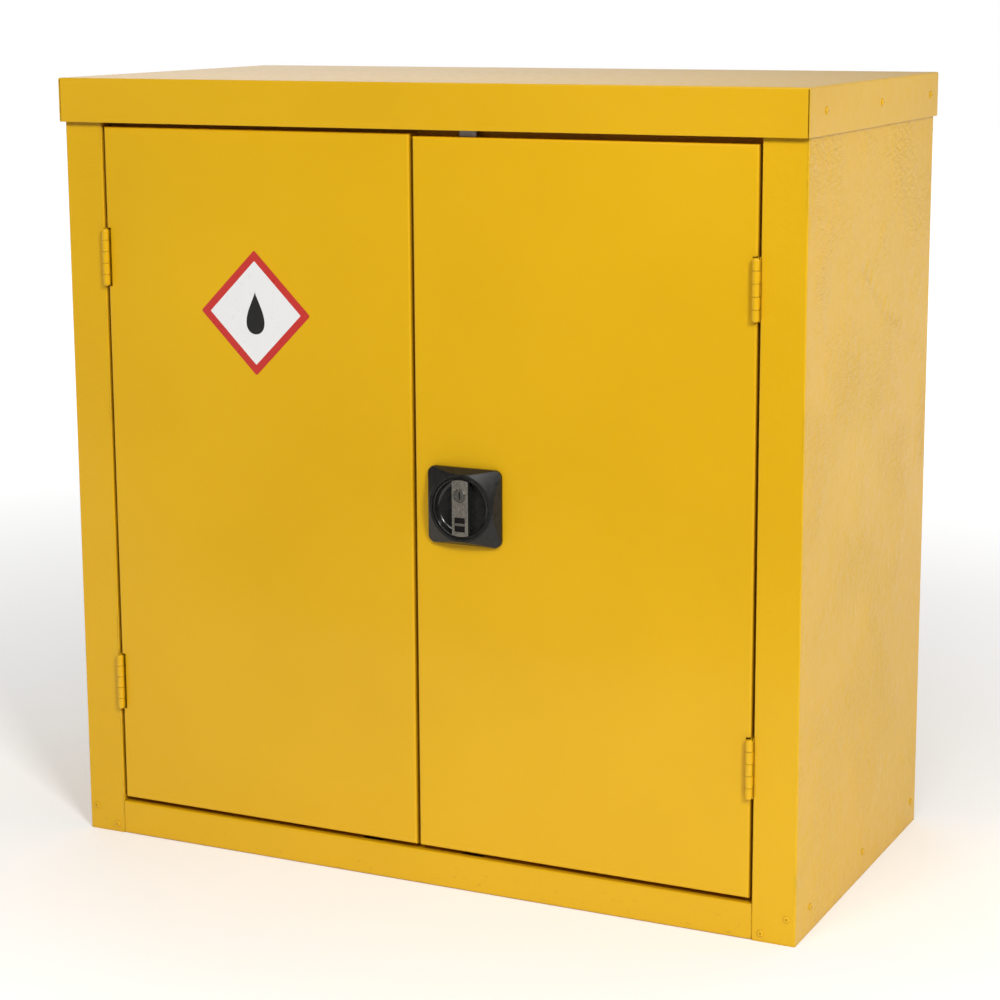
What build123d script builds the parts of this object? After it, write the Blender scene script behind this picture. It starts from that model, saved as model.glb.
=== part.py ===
from build123d import *
from math import atan2, degrees
import os

os.makedirs("parts", exist_ok=True)

# ---------------------------------------------------------------- driving dimensions (mm)
cap_width = 900.0
cap_depth = 460.0
cabinet_height = 900.0
cap_skirt = 50.0            # height of the cap's turned-down flanges
side_setback = 2.5          # carcass behind the cap's edge, at each side
front_setback = 7.0
rear_setback = 6.0
sheet = 1.0                 # steel sheet of the whole carcass
bend = 2.0                  # outer radius of a fold
stile_width = 49.0
jamb_depth = 36.0           # how far the stile's return runs back
rail_height = 40.0
door_depth = 20.0
jamb_gap = 3.5              # door edge to jamb
centre_gap = 4.0            # between the two doors
stop_gap = 3.0              # behind the doors, in front of their stops
stop_width = 18.0
header_lift = 2.0           # header's underside above the cap's lower edge
door_bottom = 46.0
door_top = 845.0
right_door_top = 842.5      # the right door hangs clear of its bar's slot, a little lower
lip_width = 12.0            # return lip at the back of the door's upright flanges
knuckle_radius = 4.0
hinge_length = 66.4
hinge_upper_z = 696.0       # middle of the upper pair
hinge_lower_z = 190.0
leaf_thickness = 1.0
knuckle_clear = 0.2         # knuckles stand this far in front of the stiles
hinge_inset = 0.2           # pin's axis inside the door's edge
pin_radius = 2.0
running_gap = 0.05          # radial clearance of a pin in its bore
fit_gap = 0.3               # between sheets that slip past each other
cap_gap = 0.5               # between the cap's plate and the carcass under it
lock_x = 63.5               # lock axis, right of the centre line
lock_z = 443.0
plate_width = 88.0
plate_tall = 85.5
plate_height = 14.5
grip_stand = 1.5            # grip in front of the plate's face
bar_width = 20.0            # locking bars are flat bars
bar_thickness = 3.0
bar_y_from_front = 11.5     # front face of the bars, behind the door's face
cam_pin_circle = 14.0       # radius of the cam pins' circle
bolt_travel = 20.0
slot_first = 100.0          # lowest slot of the shelf standards
slot_pitch = 40.0
shelf_slots = [5, 12]       # slots that carry the two shelves, counted from 0
shelf_drop = 30.0
clip_sheet = 1.5

# ---------------------------------------------------------------- places worked out from them
handle_reach = plate_height + grip_stand - front_setback
y_cap_front = -(cap_depth + handle_reach) / 2 + handle_reach
y_cap_back = y_cap_front + cap_depth
y_front = y_cap_front + front_setback
y_back = y_cap_back - rear_setback
x_side = cap_width / 2 - side_setback
x_jamb = x_side - stile_width
x_hinge_edge = x_jamb - jamb_gap
x_free_edge = centre_gap / 2
y_hinge = y_front - knuckle_radius - knuckle_clear
x_hinge = x_hinge_edge - hinge_inset
side_top = cabinet_height - sheet - cap_gap
door_width = x_hinge_edge - x_free_edge
bar_y = y_front + bar_y_from_front + bar_thickness / 2
header_bottom = cabinet_height - cap_skirt + header_lift
stop_y = y_front + door_depth + stop_gap


# ---------------------------------------------------------------- folding and fixing
def folded_section(plane, points, side=Side.LEFT, thickness=sheet, radius=bend):
    """Section of a folded sheet whose outer face follows the points."""
    with BuildSketch(plane) as section:
        with BuildLine():
            FilletPolyline(*points, radius=radius)
            offset(amount=thickness, side=side)
        make_face()
    return section.sketch


def finish(piece, name):
    piece.label = name
    export_step(piece, f"parts/{name}.step")


def y_plane(y, x=0.0, z=0.0):
    """Plane facing the front, with its own x to the right and its y upward."""
    return Plane(origin=(x, y, z), x_dir=(1, 0, 0), z_dir=(0, -1, 0))


def x_plane(x, y=0.0, z=0.0, outward=1):
    """Plane facing along X, with its own x along the cabinet's Y or against it."""
    return Plane(origin=(x, y, z), x_dir=(0, outward, 0), z_dir=(outward, 0, 0))


# ---------------------------------------------------------------- rivets
rivet_shank = 2.0
rivet_head = 4.0
rivet_dome = 1.6
rivet_dimple = 1.1          # hollow left by the mandrel
rivet_hole = rivet_shank + 0.05


def rivet(plane, grip):
    """Domed blind rivet: plane is the outer sheet's face, grip is the stack that it holds."""
    with BuildPart() as body:
        with BuildSketch(plane):
            Circle(rivet_head)
        extrude(amount=rivet_dome)
        fillet(body.edges().sort_by(Axis(plane.origin, plane.z_dir))[-1], radius=0.9 * rivet_dome)
        with BuildSketch(plane.offset(rivet_dome)):
            Circle(rivet_dimple)
        extrude(amount=-0.6 * rivet_dome, mode=Mode.SUBTRACT)
        with BuildSketch(plane):
            Circle(rivet_shank)
        extrude(amount=-grip)
        with BuildSketch(plane.offset(-grip)):
            Circle(1.45 * rivet_shank)
        extrude(amount=-1.6, taper=12)
    return body.part


foot_rivets = [(x_side - 9.5, 29.5), (x_jamb + 10.5, 9.5)]
cap_rivet_y = [y_cap_front + 53.0, y_cap_front + 243.0, y_cap_front + 431.0]
cap_rivet_z = cabinet_height - cap_skirt / 2
side_rivet_y = [y_cap_front + 56.0, y_cap_front + 243.0, y_cap_front + 435.0]
side_rivet_z = 28.0
floor_flange = 20.0
foot_lip = 6.0              # a side panel's lower edge, turned in under the base pan


# ---------------------------------------------------------------- side panels
def side_panel(hand):
    """hand is -1 for the left panel and 1 for the right one."""
    outline = [
        (hand * (x_side - floor_flange), y_back),
        (hand * x_side, y_back),
        (hand * x_side, y_front),
        (hand * x_jamb, y_front),
        (hand * x_jamb, y_front + jamb_depth),
    ]
    inner = Side.LEFT if hand < 0 else Side.RIGHT
    with BuildPart() as panel:
        extrude(folded_section(Plane.XY, outline, inner), amount=side_top)
        with Locations((hand * (x_side - foot_lip / 2), (y_front + y_back) / 2, sheet / 2)):
            Box(foot_lip, y_back - y_front - 2 * bend, sheet)
        # the jamb return starts above the bottom rail, whose end tab passes behind the stile
        with Locations((hand * x_jamb, y_front + sheet + jamb_depth / 2, rail_height / 2)):
            Box(4 * bend, jamb_depth, rail_height + 2 * fit_gap, mode=Mode.SUBTRACT)
        for along in cap_rivet_y:
            with Locations(Location((hand * x_side, along, cap_rivet_z), (0, 90, 0))):
                Cylinder(rivet_hole, 4 * sheet, mode=Mode.SUBTRACT)
        for along in side_rivet_y:
            with Locations(Location((hand * x_side, along, side_rivet_z), (0, 90, 0))):
                Cylinder(rivet_hole, 4 * sheet, mode=Mode.SUBTRACT)
        for across, up in foot_rivets:
            with Locations(Location((hand * across, y_front, up), (90, 0, 0))):
                Cylinder(rivet_hole, 4 * sheet, mode=Mode.SUBTRACT)
    return panel.part


for word, hand in (("left", -1), ("right", 1)):
    finish(side_panel(hand), f"{word}_side_panel")

# ---------------------------------------------------------------- back panel
back_width = 2 * (x_side - sheet - bend)
with BuildPart() as back_panel:
    section = folded_section(
        Plane.YZ,
        [
            (y_back - sheet - floor_flange, 0),
            (y_back - sheet, 0),
            (y_back - sheet, side_top),
            (y_back - sheet - floor_flange, side_top),
        ],
        Side.LEFT,
    )
    extrude(section, amount=back_width / 2, both=True)
    # the floor flange is cut away where the side panels' rear flanges pass
    flange_clear = floor_flange + fit_gap
    for hand in (-1, 1):
        with Locations((hand * (x_side - flange_clear / 2), y_back - sheet - floor_flange / 2, 0)):
            Box(flange_clear, floor_flange + 2 * bend, 4 * bend, mode=Mode.SUBTRACT)
back_panel.part.label = "back_panel"
export_step(back_panel.part, "parts/back_panel.step")

# ---------------------------------------------------------------- top cap
corner_seam = 1.0
with BuildPart() as top_cap:
    with BuildSketch(Plane.XY.offset(cabinet_height - cap_skirt)):
        with Locations((0, (y_cap_front + y_cap_back) / 2)):
            Rectangle(cap_width, cap_depth)
    extrude(amount=cap_skirt)
    fillet(top_cap.faces().sort_by(Axis.Z)[-1].edges(), radius=bend)
    underside = top_cap.faces().sort_by(Axis.Z)[0]
    offset(amount=-sheet, openings=underside)
    # the front and rear flanges stand between the side flanges, with an open seam at each corner
    for hand in (-1, 1):
        for flange_y in (y_cap_front, y_cap_back):
            seam_x = hand * (cap_width / 2 - sheet - corner_seam / 2)
            with Locations((seam_x, flange_y, cabinet_height - cap_skirt / 2 - bend)):
                Box(corner_seam, 2 * sheet, cap_skirt, mode=Mode.SUBTRACT)
        for along in cap_rivet_y:
            with Locations(Location((hand * cap_width / 2, along, cap_rivet_z), (0, 90, 0))):
                Cylinder(rivet_hole, 4 * sheet, mode=Mode.SUBTRACT)
top_cap.part.label = "top_cap"
export_step(top_cap.part, "parts/top_cap.step")

# ---------------------------------------------------------------- header rail and bottom rail
bar_slot_width = 26.0
bar_slot_depth = 8.0
stop_ledge = 14.0           # leg of the header's stop that is welded under the rail
header_half = x_jamb - fit_gap
header_face = y_cap_front + sheet + fit_gap
with BuildPart() as header_rail:
    section = folded_section(
        Plane.YZ,
        [(header_face, side_top), (header_face, header_bottom), (stop_y + stop_ledge, header_bottom)],
        Side.LEFT,
    )
    extrude(section, amount=header_half, both=True)
    for hand in (-1, 1):
        with Locations((hand * lock_x, bar_y, header_bottom)):
            Box(bar_slot_width, bar_slot_depth, 4 * sheet, mode=Mode.SUBTRACT)
header_rail.part.label = "header_rail"
export_step(header_rail.part, "parts/header_rail.step")

with BuildPart() as header_stop:
    section = folded_section(
        Plane.YZ,
        [
            (stop_y + stop_ledge, header_bottom),
            (stop_y, header_bottom),
            (stop_y, header_bottom - stop_width),
        ],
        Side.LEFT,
    )
    extrude(section, amount=header_half, both=True)
header_stop.part.label = "header_stop"
export_step(header_stop.part, "parts/header_stop.step")

rail_depth = 34.0
rail_rear_drop = 15.0       # lip turned down at the rail's rear edge
rail_foot = 55.0            # how far the rail's floor flange runs back, under the base pan
rail_half = x_jamb - fit_gap
tab_reach = 45.0            # of the joggled tabs, beyond and within the rail's ends
tab_overlap = 10.0
with BuildPart() as bottom_rail:
    section = folded_section(
        Plane.YZ,
        [
            (y_front + rail_foot, 0),
            (y_front, 0),
            (y_front, rail_height),
            (y_front + rail_depth, rail_height),
            (y_front + rail_depth, rail_height - rail_rear_drop),
        ],
        Side.LEFT,
    )
    extrude(section, amount=rail_half, both=True)
    for hand in (-1, 1):
        with Locations((hand * lock_x, bar_y, rail_height)):
            Box(bar_slot_width, bar_slot_depth, 4 * sheet, mode=Mode.SUBTRACT)
        # joggled tab behind the stile, riveted to it
        tab_inner = rail_half - tab_overlap
        tab_outer = rail_half + tab_reach
        with Locations((hand * (tab_inner + tab_outer) / 2, y_front + 1.5 * sheet, rail_height / 2)):
            Box(tab_outer - tab_inner, sheet, rail_height - 3 * bend)
        for across, up in foot_rivets:
            with Locations(Location((hand * across, y_front, up), (90, 0, 0))):
                Cylinder(rivet_hole, 6 * sheet, mode=Mode.SUBTRACT)
bottom_rail.part.label = "bottom_rail"
export_step(bottom_rail.part, "parts/bottom_rail.step")

# ---------------------------------------------------------------- base pan, the liquid-tight sump
pan_upstand = 40.0
pan_gap = 0.5               # to the panels round it
pan_front = y_front + jamb_depth + sheet
pan_back = y_back - 2 * sheet - pan_gap
pan_half = x_side - sheet - pan_gap
with BuildPart() as base_pan:
    with BuildSketch(Plane.XY.offset(sheet)):
        with Locations((0, (pan_front + pan_back) / 2)):
            Rectangle(2 * pan_half, pan_back - pan_front)
    extrude(amount=pan_upstand)
    fillet(base_pan.edges().filter_by(Axis.Z), radius=3 * bend)
    fillet(base_pan.faces().sort_by(Axis.Z)[0].edges(), radius=bend)
    offset(amount=-sheet, openings=base_pan.faces().sort_by(Axis.Z)[-1])
    for along in side_rivet_y:
        with Locations(Location((0, along, side_rivet_z), (0, 90, 0))):
            Cylinder(rivet_hole, 2 * x_side, mode=Mode.SUBTRACT)
base_pan.part.label = "base_pan"
export_step(base_pan.part, "parts/base_pan.step")

# ---------------------------------------------------------------- door stops and their buffers
buffer_radius = 6.0
buffer_height = stop_y - y_front - door_depth - fit_gap
buffer_offset = 70.0        # from the middle of the nearest hinge
for word, hand in (("left", -1), ("right", 1)):
    outline = [
        (hand * (x_jamb - stop_width), stop_y),
        (hand * x_jamb, stop_y),
        (hand * x_jamb, y_front + jamb_depth),
    ]
    with BuildPart() as door_stop:
        plane = Plane.XY.offset(rail_height + sheet)
        inner = Side.RIGHT if hand < 0 else Side.LEFT
        stop_height = header_bottom - stop_width - rail_height - 2 * sheet
        extrude(folded_section(plane, outline, inner), amount=stop_height)
    finish(door_stop.part, f"{word}_door_stop")

with BuildPart() as door_buffers:
    for hand in (-1, 1):
        for up in (hinge_lower_z + buffer_offset, hinge_upper_z - buffer_offset):
            buffer_x = hand * (x_jamb - stop_width + buffer_radius + sheet)
            with BuildSketch(y_plane(stop_y, buffer_x, up)):
                Circle(buffer_radius)
            extrude(amount=buffer_height, taper=8)
door_buffers.part.label = "door_buffers"
export_step(door_buffers.part, "parts/door_buffers.step")

# ---------------------------------------------------------------- shelf standards, shelves and clips
standard_width = 22.0
standard_stand = 8.0
slot_count = 18
slot_height = 4.0
slot_width = 12.0
standard_foot = rail_height + pan_upstand / 4
standard_height = header_bottom - stop_width - rail_height
x_standard = x_side - sheet - standard_stand
standard_y = {"front": y_front + 85.0, "rear": y_back - 70.0}
for word, hand in (("left", -1), ("right", 1)):
    for place, along in standard_y.items():
        outline = [
            (hand * (x_side - sheet), along - standard_width / 2),
            (hand * x_standard, along - standard_width / 2),
            (hand * x_standard, along + standard_width / 2),
            (hand * (x_side - sheet), along + standard_width / 2),
        ]
        with BuildPart() as standard:
            inner = Side.LEFT if hand < 0 else Side.RIGHT
            plane = Plane.XY.offset(standard_foot)
            extrude(folded_section(plane, outline, inner), amount=standard_height)
            with Locations((hand * x_standard, along, slot_first)):
                with Locations([(0, 0, slot_pitch * step) for step in range(slot_count)]):
                    Box(4 * sheet, slot_width, slot_height, mode=Mode.SUBTRACT)
        finish(standard.part, f"{word}_{place}_shelf_standard")

shelf_half = x_standard - 2.5
shelf_front = y_front + 44.0
shelf_back = y_back - 2 * sheet - 4.0
shelf_lip = 12.0
clip_width = 10.0
clip_catch = 3.0            # hook behind the standard's face
clip_catch_drop = 6.0
clip_plate_drop = 14.0
clip_ledge = 11.0
for word, slot in zip(("lower", "upper"), shelf_slots):
    under = slot_first + slot_pitch * slot + 1.5 * clip_sheet
    with BuildPart() as shelf:
        with BuildSketch(Plane.XY.offset(under)):
            with Locations((0, (shelf_front + shelf_back) / 2)):
                Rectangle(2 * shelf_half, shelf_back - shelf_front)
        extrude(amount=shelf_drop)
        fillet(shelf.faces().sort_by(Axis.Z)[-1].edges(), radius=bend)
        offset(amount=-sheet, openings=shelf.faces().sort_by(Axis.Z)[0])
        # lips turned inward at the foot of each flange
        with BuildSketch(Plane.XY.offset(under)):
            with Locations((0, (shelf_front + shelf_back) / 2)):
                Rectangle(2 * shelf_half, shelf_back - shelf_front)
                Rectangle(
                    2 * (shelf_half - shelf_lip),
                    shelf_back - shelf_front - 2 * shelf_lip,
                    mode=Mode.SUBTRACT,
                )
        extrude(amount=sheet)
    finish(shelf.part, f"{word}_shelf")

    with BuildPart() as clips:
        for hand in (-1, 1):
            for along in standard_y.values():
                # a hook through the slot, a plate down the face and a ledge under the shelf
                inside = x_standard - sheet - fit_gap
                hook = x_standard + clip_catch
                foot = under - clip_sheet
                with BuildSketch(Plane.XZ.offset(-along - clip_width / 2)):
                    with BuildLine():
                        Polyline(
                            (hand * hook, foot),
                            (hand * hook, foot - clip_catch_drop),
                            (hand * (hook - clip_sheet), foot - clip_catch_drop),
                            (hand * (hook - clip_sheet), foot - clip_sheet),
                            (hand * inside, foot - clip_sheet),
                            (hand * inside, foot - clip_plate_drop),
                            (hand * (inside - clip_sheet), foot - clip_plate_drop),
                            (hand * (inside - clip_sheet), foot),
                            (hand * (inside - clip_ledge), foot),
                            (hand * (inside - clip_ledge), foot + clip_sheet),
                            (hand * inside, foot + clip_sheet),
                            (hand * inside, foot),
                            (hand * hook, foot),
                        )
                    make_face()
                extrude(amount=clip_width)
    finish(clips.part, f"{word}_shelf_clips")

# ---------------------------------------------------------------- doors
door_bend = 2.5
notch_depth = 5.2
notch_margin = 0.4
flange_slot_width = 38.0
flange_slot_depth = 9.0
stiffener_width = 60.0
stiffener_height = 14.0
stiffener_flange = 14.0
stiffener_x = 225.0
stiffener_end = 12.0        # to the door's top and bottom edges


def door_pan(hand, top):
    """Pan of folded sheet: skin, four flanges, and a lip on each upright flange."""
    middle = hand * (x_free_edge + x_hinge_edge) / 2
    middle_z = (door_bottom + top) / 2
    door_height = top - door_bottom
    with BuildPart() as pan:
        with Locations((middle, y_front + door_depth / 2, middle_z)):
            Box(door_width, door_depth, door_height)
        fillet(pan.faces().sort_by(Axis.Y)[0].edges(), radius=door_bend)
        offset(amount=-sheet, openings=pan.faces().sort_by(Axis.Y)[-1])
        lip_y = y_front + door_depth - sheet / 2
        for edge in (x_free_edge, x_hinge_edge):
            toward = 1 if edge == x_free_edge else -1
            with Locations((hand * (edge + toward * lip_width / 2), lip_y, middle_z)):
                Box(lip_width, sheet, door_height - 2 * door_bend)
        # slots in the top and bottom flanges for the locking bars
        for up in (door_bottom, top):
            with Locations((hand * lock_x, bar_y, up)):
                Box(flange_slot_width, flange_slot_depth, 4 * sheet, mode=Mode.SUBTRACT)
        # the skin is notched round each knuckle
        for up in (hinge_lower_z, hinge_upper_z):
            with Locations((hand * (x_hinge_edge - notch_depth / 2), y_front, up)):
                Box(
                    notch_depth,
                    2 * knuckle_radius + 1.0,
                    hinge_length + 2 * notch_margin,
                    mode=Mode.SUBTRACT,
                )
    return pan


left_door = door_pan(-1, door_top)
left_door.part.label = "left_door"
export_step(left_door.part, "parts/left_door.step")

bush_outer = 14.0
with BuildPart() as right_door:
    add(door_pan(1, right_door_top).part)
    with Locations(Location((lock_x, y_front, lock_z), (90, 0, 0))):
        Cylinder(bush_outer + fit_gap, 4 * sheet, mode=Mode.SUBTRACT)
right_door.part.label = "right_door"
export_step(right_door.part, "parts/right_door.step")

for word, hand, top in (("left", -1, door_top), ("right", 1, right_door_top)):
    y_skin = y_front + sheet
    half = stiffener_width / 2
    outline = [
        (hand * stiffener_x - half, y_skin + sheet),
        (hand * stiffener_x - half + stiffener_flange, y_skin + sheet),
        (hand * stiffener_x - half + stiffener_flange, y_skin + stiffener_height),
        (hand * stiffener_x + half - stiffener_flange, y_skin + stiffener_height),
        (hand * stiffener_x + half - stiffener_flange, y_skin + sheet),
        (hand * stiffener_x + half, y_skin + sheet),
    ]
    with BuildPart() as stiffener:
        plane = Plane.XY.offset(door_bottom + stiffener_end)
        stiffener_length = top - door_bottom - 2 * stiffener_end
        extrude(folded_section(plane, outline, Side.RIGHT), amount=stiffener_length)
    finish(stiffener.part, f"{word}_door_stiffener")

# ---------------------------------------------------------------- hinges
knuckle_count = 5
knuckle_gap = 0.3
knuckle_pitch = hinge_length / knuckle_count
knuckle_round = 0.5         # where two knuckles meet
knuckle_dome = 3.0          # at the two ends of a hinge
leaf_depth = 17.0
leaf_gap = 0.35             # between a leaf and the other leaf's knuckles
pin_recess = 0.5            # ends of the pin inside the end knuckles


def knuckle(hand, start, end, low_round, high_round):
    """Rolled knuckle between two heights, solid for now, with rounded ends."""
    with BuildPart() as roll:
        with BuildSketch(Plane.XY.offset(start)):
            with Locations((hand * x_hinge, y_hinge)):
                Circle(knuckle_radius)
        extrude(amount=end - start)
        fillet(roll.faces().sort_by(Axis.Z)[0].edges(), radius=low_round)
        fillet(roll.faces().sort_by(Axis.Z)[-1].edges(), radius=high_round)
    return roll.part


def hinge_leaf(hand, middle_z, first_knuckle, leaf_x):
    """Leaf with every second knuckle, from first_knuckle upward; leaf_x is the leaf's middle."""
    low = middle_z - hinge_length / 2
    leaf_front = y_hinge + knuckle_radius + leaf_gap
    neck_end = leaf_front + leaf_thickness
    with BuildPart() as leaf:
        with Locations((hand * leaf_x, (leaf_front + y_front + leaf_depth) / 2, middle_z)):
            Box(leaf_thickness, y_front + leaf_depth - leaf_front, hinge_length)
        for index in range(first_knuckle, knuckle_count, 2):
            start = low + index * knuckle_pitch + knuckle_gap / 2
            end = start + knuckle_pitch - knuckle_gap
            low_round = knuckle_dome if index == 0 else knuckle_round
            high_round = knuckle_dome if index == knuckle_count - 1 else knuckle_round
            add(knuckle(hand, start, end, low_round, high_round))
            neck_height = end - start - low_round - high_round
            neck_z = (start + low_round + end - high_round) / 2
            with Locations((hand * leaf_x, (y_hinge + neck_end) / 2, neck_z)):
                Box(leaf_thickness, neck_end - y_hinge, neck_height)
        with Locations((hand * x_hinge, y_hinge, middle_z)):
            Cylinder(pin_radius + running_gap, hinge_length, mode=Mode.SUBTRACT)
    return leaf.part


def hinge_pin(hand, middle_z):
    """Plain pin, a little shorter than the hinge, with its ends eased."""
    with BuildPart() as pin:
        with Locations((hand * x_hinge, y_hinge, middle_z)):
            Cylinder(pin_radius, hinge_length - 2 * pin_recess)
        chamfer(pin.faces().sort_by(Axis.Z)[-1].edges(), length=0.2 * pin_radius)
        chamfer(pin.faces().sort_by(Axis.Z)[0].edges(), length=0.2 * pin_radius)
    return pin.part


frame_leaf_x = x_jamb - leaf_thickness / 2
door_leaf_x = x_hinge_edge + leaf_thickness / 2
for side_word, hand in (("left", -1), ("right", 1)):
    for level, middle_z in (("lower", hinge_lower_z), ("upper", hinge_upper_z)):
        prefix = f"{side_word}_{level}_hinge"
        finish(hinge_leaf(hand, middle_z, 0, door_leaf_x), f"{prefix}_door_leaf")
        finish(hinge_leaf(hand, middle_z, 1, frame_leaf_x), f"{prefix}_frame_leaf")
        finish(hinge_pin(hand, middle_z), f"{prefix}_pin")

# ---------------------------------------------------------------- lock: escutcheon and dial
plate_corner = 8.0
rim_height = 4.2            # upright edge of the plate, below its facets
ring_radius = 37.5          # edge of the raised ring round the dial
corner_reach = 57.5         # where the sloping corners come down to the rim's height
dish_radius = 34.5
dial_radius = 34.1
dish_wall = 2.4
dish_floor = 5.0            # floor of the dish, in front of the door's face
dial_back = 2.5
y_lock = y_plane(y_front, lock_x, lock_z)

facet_height = plate_height - rim_height
facet_lean = degrees(atan2(plate_tall / 2 - ring_radius, facet_height))
corner_slope = (corner_reach - ring_radius) / facet_height
with BuildPart() as handle_escutcheon:
    with BuildSketch(y_lock):
        RectangleRounded(plate_width, plate_tall, plate_corner)
    extrude(amount=rim_height)
    # four flat facets lean in from the rim to the ring
    with BuildSketch(y_lock.offset(rim_height)):
        RectangleRounded(plate_width, plate_tall, plate_corner)
    extrude(amount=facet_height, taper=facet_lean)
    # between them the corners slope down from the ring as parts of one cone
    with Locations(y_lock.location):
        Cone(
            ring_radius + corner_slope * plate_height,
            ring_radius,
            plate_height,
            align=(Align.CENTER, Align.CENTER, Align.MIN),
            mode=Mode.INTERSECT,
        )
    with BuildSketch(y_lock):
        Circle(dish_radius)
    extrude(amount=plate_height, mode=Mode.SUBTRACT)
handle_escutcheon.part.label = "handle_escutcheon"
export_step(handle_escutcheon.part, "parts/handle_escutcheon.step")

rim_drop = 1.0              # rim of the dial below the plate's face
rim_round = 0.9
plug_radius = 7.4
plug_up = 14.0              # key plug above the lock axis
grip_width = 19.6
grip_front = plate_height + grip_stand
grip_round = 1.4
grip_gap = 0.2              # ends of the grip to the dish's wall and sweep
dish_inner = dial_radius - dish_wall
dish_curve = 5.5            # sweep from the dish's floor into its wall
with BuildPart() as handle_dial:
    with BuildSketch(y_lock.offset(dial_back)):
        Circle(dial_radius)
    extrude(amount=plate_height - rim_drop - dial_back)
    with BuildSketch(y_lock.offset(dish_floor)):
        Circle(dish_inner)
    extrude(amount=plate_height, mode=Mode.SUBTRACT)
    rim_edges = handle_dial.faces().sort_by(Axis.Y)[0].edges()
    fillet(rim_edges, radius=rim_round)
    dish_edges = handle_dial.edges().filter_by(GeomType.CIRCLE).filter_by(
        lambda edge: abs(edge.center().Y - (y_front - dish_floor)) < 0.01
    )
    fillet(dish_edges, radius=dish_curve)
    with BuildSketch(y_lock):
        with Locations((0, plug_up)):
            Circle(plug_radius + running_gap)
    extrude(amount=plate_height, mode=Mode.SUBTRACT)
handle_dial.part.label = "handle_dial"
export_step(handle_dial.part, "parts/handle_dial.step")

window_width = 12.6
window_height = 16.0
window_down = 18.0          # middle of the recess below the lock axis
window_depth = 2.2
window_corner = 1.0
insert_gap = 0.1
insert_thickness = 0.8
cross_bar = 2.8             # bar across the insert
with BuildPart() as handle_grip:
    with BuildSketch(y_lock.offset(dish_floor)):
        Circle(dish_inner - grip_gap)
        Rectangle(grip_width, 2 * dish_inner, mode=Mode.INTERSECT)
    extrude(amount=grip_front - dish_floor)
    fillet(handle_grip.faces().sort_by(Axis.Y)[0].edges(), radius=grip_round)
    # the foot of each end follows the sweep of the dish
    with BuildSketch(y_lock.offset(dish_floor)):
        Circle(dish_inner + 2.0)
        Circle(dish_inner - dish_curve - grip_gap, mode=Mode.SUBTRACT)
    extrude(amount=dish_curve, mode=Mode.SUBTRACT)
    with BuildSketch(y_lock.offset(grip_front)):
        with Locations((0, -window_down)):
            RectangleRounded(window_width, window_height, window_corner)
    extrude(amount=-window_depth, mode=Mode.SUBTRACT)
    with BuildSketch(y_lock):
        with Locations((0, plug_up)):
            Circle(plug_radius + running_gap)
    extrude(amount=grip_front, mode=Mode.SUBTRACT)
handle_grip.part.label = "handle_grip"
export_step(handle_grip.part, "parts/handle_grip.step")

insert_width = window_width - 2 * insert_gap
insert_height = window_height - 2 * insert_gap
insert_back = grip_front - window_depth
with BuildPart() as grip_insert:
    with BuildSketch(y_lock.offset(insert_back)):
        with Locations((0, -window_down)):
            RectangleRounded(insert_width, insert_height, window_corner - insert_gap)
    extrude(amount=insert_thickness)
    with BuildSketch(y_lock.offset(insert_back + insert_thickness)):
        with Locations((0, -window_down)):
            Rectangle(insert_width, cross_bar)
    extrude(amount=insert_thickness)
grip_insert.part.label = "grip_insert"
export_step(grip_insert.part, "parts/grip_insert.step")

# ---------------------------------------------------------------- key plug and its tail
tail_thickness = 1.6
tail_length = 14.0
tail_width = 6.4
tail_neck = 3.0
plug_gap = 0.2              # plug and tail to the dial, and plug to the grip's face
plug_bevel = 0.6
key_slot_width = 1.4
key_slot_length = 8.4
key_slot_depth = 7.0
tail_front = dial_back - plug_gap
plug_start = dial_back + plug_gap
with BuildPart() as lock_plug:
    with BuildSketch(y_lock.offset(plug_start)):
        with Locations((0, plug_up)):
            Circle(plug_radius)
    extrude(amount=grip_front - plug_start - plug_gap)
    chamfer(lock_plug.faces().sort_by(Axis.Y)[0].edges(), length=plug_bevel)
    with BuildSketch(y_lock.offset(grip_front)):
        with Locations((0, plug_up)):
            Rectangle(key_slot_width, key_slot_length)
    extrude(amount=-key_slot_depth, mode=Mode.SUBTRACT)
lock_plug.part.label = "lock_plug"
export_step(lock_plug.part, "parts/lock_plug.step")

with BuildPart() as plug_tail:
    with BuildSketch(y_lock.offset(tail_front)):
        with Locations((tail_length / 2, plug_up)):
            SlotOverall(1.5 * tail_length, tail_width)
    extrude(amount=-tail_thickness)
    with BuildSketch(y_lock.offset(tail_front)):
        with Locations((0, plug_up)):
            Circle(tail_neck)
    extrude(amount=plug_start - tail_front)
plug_tail.part.label = "plug_tail"
export_step(plug_tail.part, "parts/plug_tail.step")

# ---------------------------------------------------------------- bush, spindle, cam and its screw
spindle_radius = 8.0
bush_depth = 6.7
cam_front = 7.0
cam_thickness = 3.0
cam_radius = 20.0
cam_pin_radius = 3.0
cam_pin_length = 5.5
square = 9.0                # end of the spindle that the cam sits on
square_gap = 0.1
bush_plate = 52.0
bush_plate_sheet = 2.0
screw_bore = 3.0
screw_shank = 2.9
screw_length = 9.0
screw_head = 1.2
screw_head_radius = 7.5
screw_slot_width = 1.6
screw_slot_depth = 0.7
with BuildPart() as spindle_bush:
    with BuildSketch(y_lock.offset(-0.1)):
        Circle(bush_outer)
    extrude(amount=-bush_depth + 0.1)
    with BuildSketch(y_lock.offset(-sheet)):
        RectangleRounded(bush_plate, bush_plate, 2 * bend)
    extrude(amount=-bush_plate_sheet)
    with BuildSketch(y_lock):
        Circle(spindle_radius + running_gap)
    extrude(amount=-2 * bush_depth, mode=Mode.SUBTRACT)
spindle_bush.part.label = "spindle_bush"
export_step(spindle_bush.part, "parts/spindle_bush.step")

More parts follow.
